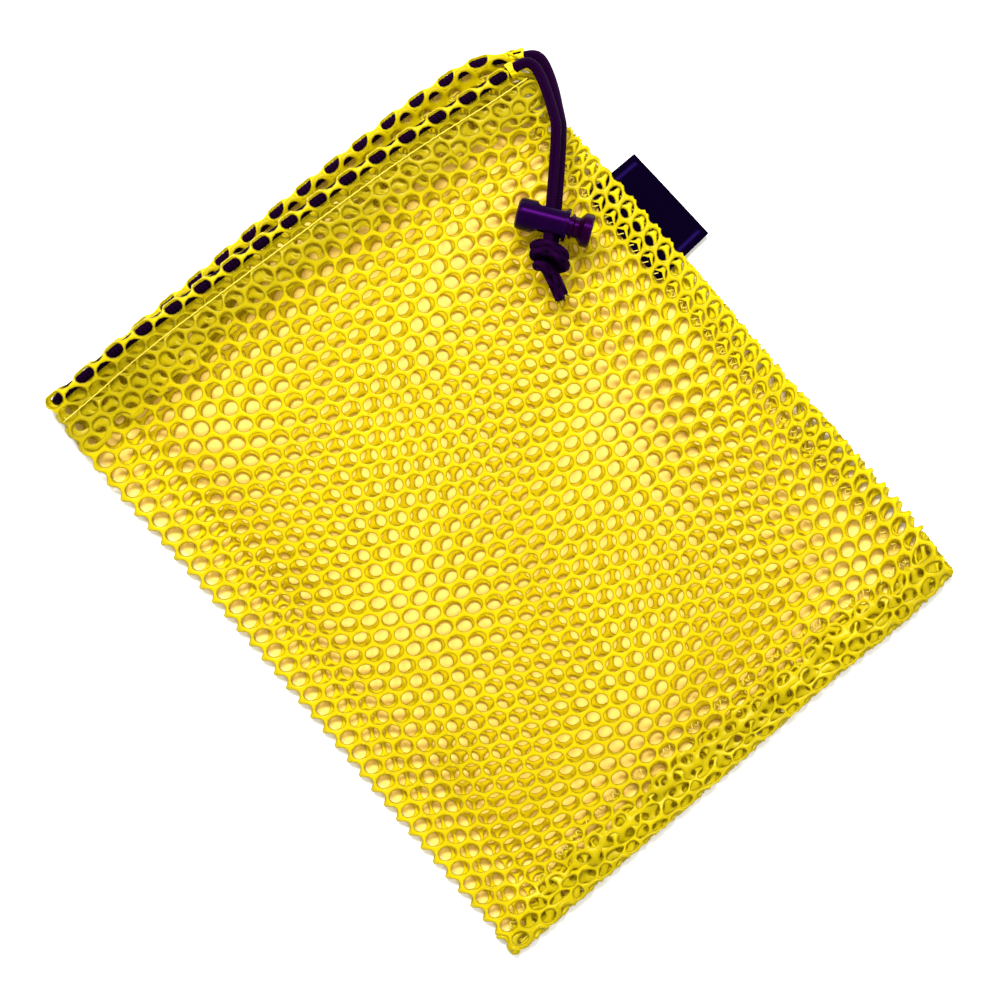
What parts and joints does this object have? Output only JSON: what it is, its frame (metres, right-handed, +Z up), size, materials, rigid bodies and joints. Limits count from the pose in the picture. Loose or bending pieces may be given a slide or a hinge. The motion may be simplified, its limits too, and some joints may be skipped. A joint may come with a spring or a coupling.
{
  "type": "mesh laundry bag",
  "caption": "Flat drawstring laundry bag of coated honeycomb net with a hem casing, a cord, a spring cord lock, an end knot and a side seam label.",
  "frame": {"origin": "middle of the back panel's underside, on the surface that the bag lies on", "axes": "+X towards the seam with the label, +Y towards the mouth, +Z up through the front panel"},
  "size_m": [0.2139, 0.2525, 0.0203],
  "materials": {
    "vinyl_net": "glossy vinyl coated net",
    "sewing_thread": "twisted polyester thread",
    "drawcord": "braided polyester cord",
    "woven_label": "damask woven label",
    "lock_plastic": "satin moulded plastic",
    "button_plastic": "satin moulded plastic",
    "spring_steel": "drawn spring wire"
  },
  "bodies": {
    "bag": {"mesh_front_panel": "vinyl_net", "mesh_back_panel": "vinyl_net", "hem_front": "vinyl_net", "hem_back": "vinyl_net", "side_seam_allowance": "vinyl_net", "bottom_seam_allowance": "vinyl_net", "hem_stitching_front": "sewing_thread", "hem_stitching_back": "sewing_thread", "side_seam_stitching": "sewing_thread", "bottom_seam_stitching": "sewing_thread", "side_overlock_thread": "sewing_thread", "bottom_overlock_thread": "sewing_thread", "label": "woven_label", "drawcord_in_hem": "drawcord", "drawcord_strand_outer": "drawcord", "drawcord_strand_inner": "drawcord", "drawcord_knot": "drawcord", "drawcord_tail_outer": "drawcord", "drawcord_tail_inner": "drawcord"},
    "cord_lock": {"cord_lock_barrel": "lock_plastic", "cord_lock_spring": "spring_steel"},
    "lock_button": {"cord_lock_plunger": "button_plastic"}
  },
  "joints": [
    {"name": "cord_lock_slide", "type": "slide", "parent": "bag", "child": "cord_lock", "axis": [0.7071, 0.7071, 0], "range_m": [0, 0.018]},
    {"name": "button_press", "type": "slide", "parent": "cord_lock", "child": "lock_button", "axis": [-0.5807, 0.8141, 0], "range_m": [0, 0.002], "stiffness_N_per_m": 600, "springref_m": -0.003, "deforming": ["cord_lock_spring"]}
  ]
}
